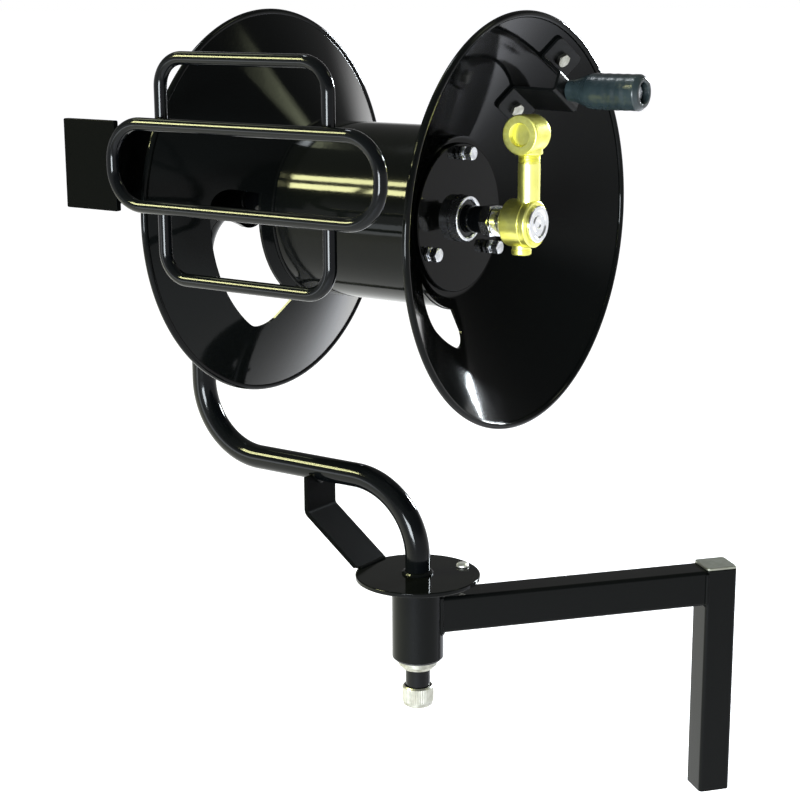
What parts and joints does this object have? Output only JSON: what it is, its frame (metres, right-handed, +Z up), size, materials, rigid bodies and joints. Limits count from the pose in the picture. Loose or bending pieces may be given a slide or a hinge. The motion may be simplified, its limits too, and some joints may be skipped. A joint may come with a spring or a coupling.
{
  "type": "hose reel",
  "caption": "Crank hose reel with dished side discs and rod hose guide on a swinging pipe arm, carried by a square post and crossbar.",
  "frame": {"origin": "middle of the outer face of the square mounting post, halfway up the length that a carrier holds", "axes": "+X along the reel's axle towards the crank, +Z up, the post's outer face looks along 50.9 degrees from +X towards +Y"},
  "size_m": [0.5497, 0.5436, 0.8742],
  "materials": {
    "black_paint": "glossy black powder coat",
    "bare_steel": "dull bare steel plate",
    "zinc": "bright zinc plate",
    "chrome": "polished",
    "brass": "machined, polished",
    "grip_plastic": "satin dark grey",
    "bush_plastic": "plain black"
  },
  "bodies": {
    "bracket": {"mounting_post": "black_paint", "post_cap": "bare_steel", "crossbar": "black_paint", "pivot_housing": "black_paint", "upper_bush": "bush_plastic", "lower_bush": "bush_plastic"},
    "arm": {"water_pipe": "black_paint", "arm_gusset": "black_paint", "swivel_plate": "black_paint", "swivel_plate_pin": "zinc", "lower_collar": "zinc", "axle_nipple": "chrome", "guide_arm": "black_paint", "guide_plate": "black_paint", "guide_loop_wide": "black_paint", "guide_loop_tall": "black_paint"},
    "reel": {"drum": "black_paint", "left_disc": "black_paint", "left_hub_plate": "black_paint", "left_bearing_ring": "zinc", "left_bearing_bush": "bush_plastic", "left_hub_bolt_1": "zinc", "left_hub_bolt_2": "zinc", "left_hub_bolt_3": "zinc", "right_disc": "black_paint", "right_hub_plate": "black_paint", "right_bearing_ring": "zinc", "right_bearing_bush": "bush_plastic", "right_hub_bolt_1": "zinc", "right_hub_bolt_2": "zinc", "right_hub_bolt_3": "zinc", "swivel_body": "brass", "swivel_gland": "chrome", "swivel_plug": "brass", "brass_riser": "brass", "brass_elbow": "brass", "crank_bracket": "black_paint", "crank_bolt_1": "zinc", "crank_bolt_2": "zinc", "crank_nut": "zinc", "crank_spindle": "zinc"},
    "grip": {"crank_grip": "grip_plastic"},
    "nut": {"inlet_nut": "zinc"}
  },
  "joints": [
    {"name": "arm_swing", "type": "hinge", "parent": "bracket", "child": "arm", "pos_m": [-0.23035, -0.28345, 0.227], "axis": [0, 0, 1], "continuous": true},
    {"name": "reel_spin", "type": "hinge", "parent": "arm", "child": "reel", "pos_m": [-0.26185, -0.28345, 0.617], "axis": [1, 0, 0], "continuous": true},
    {"name": "grip_spin", "type": "hinge", "parent": "reel", "child": "grip", "pos_m": [-0.26185, -0.21437, 0.74163], "axis": [1, 0, 0], "continuous": true},
    {"name": "nut_spin", "type": "hinge", "parent": "arm", "child": "nut", "pos_m": [-0.23035, -0.28345, 0.09725], "axis": [0, 0, 1], "continuous": true}
  ]
}
